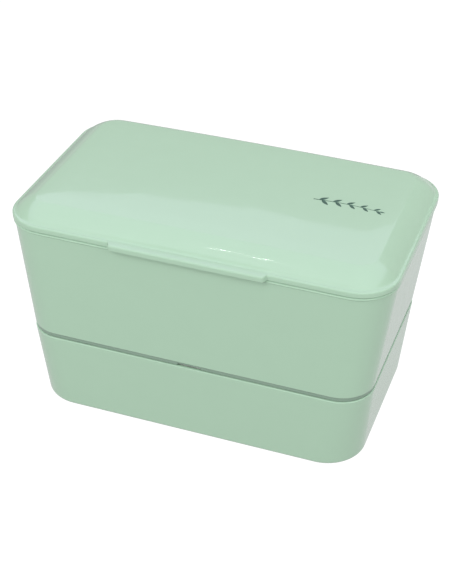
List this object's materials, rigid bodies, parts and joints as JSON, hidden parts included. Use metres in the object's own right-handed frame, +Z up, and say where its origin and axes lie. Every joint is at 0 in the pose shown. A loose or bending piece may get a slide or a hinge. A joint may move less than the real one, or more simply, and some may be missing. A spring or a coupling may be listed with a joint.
{
  "type": "bento lunch box",
  "caption": "Stacked two-tier bento lunch box with a crowned outer lid, a see-through inner lid between the tiers, silicone seals and sliding dividers.",
  "frame": {"origin": "centre of the flat underside of the lower box", "axes": "+X along the length, -Y towards the finger tab on the lid's front edge, +Z up through the stack"},
  "size_m": [0.1854, 0.1131, 0.1111],
  "materials": {
    "mint_body": "satin-gloss moulded mint green",
    "mint_lid": "gloss moulded mint green",
    "smoke_lid": "polished see-through smoke grey",
    "divider": "fine matte pale mint",
    "silicone": "matte milky silicone"
  },
  "bodies": {
    "lower_tier": {"lower_box": "mint_body"},
    "lower_partition": {"lower_divider": "divider"},
    "middle_lid": {"inner_lid": "smoke_lid", "inner_lid_seal": "silicone"},
    "upper_tier": {"upper_box": "mint_body"},
    "upper_partition": {"upper_divider": "divider"},
    "top_lid": {"outer_lid": "mint_lid", "outer_lid_seal": "silicone"}
  },
  "joints": [
    {"name": "inner_lid_lift", "type": "slide", "parent": "lower_tier", "child": "middle_lid", "axis": [0, 0, 1], "range_m": [0, 0.06]},
    {"name": "upper_tier_lift", "type": "slide", "parent": "middle_lid", "child": "upper_tier", "axis": [0, 0, 1], "range_m": [0, 0.06]},
    {"name": "outer_lid_lift", "type": "slide", "parent": "upper_tier", "child": "top_lid", "axis": [0, 0, 1], "range_m": [0, 0.07]},
    {"name": "lower_divider_slide", "type": "slide", "parent": "lower_tier", "child": "lower_partition", "axis": [1, 0, 0], "range_m": [-0.052, 0.052]},
    {"name": "upper_divider_slide", "type": "slide", "parent": "upper_tier", "child": "upper_partition", "axis": [1, 0, 0], "range_m": [-0.06, 0.06]}
  ]
}
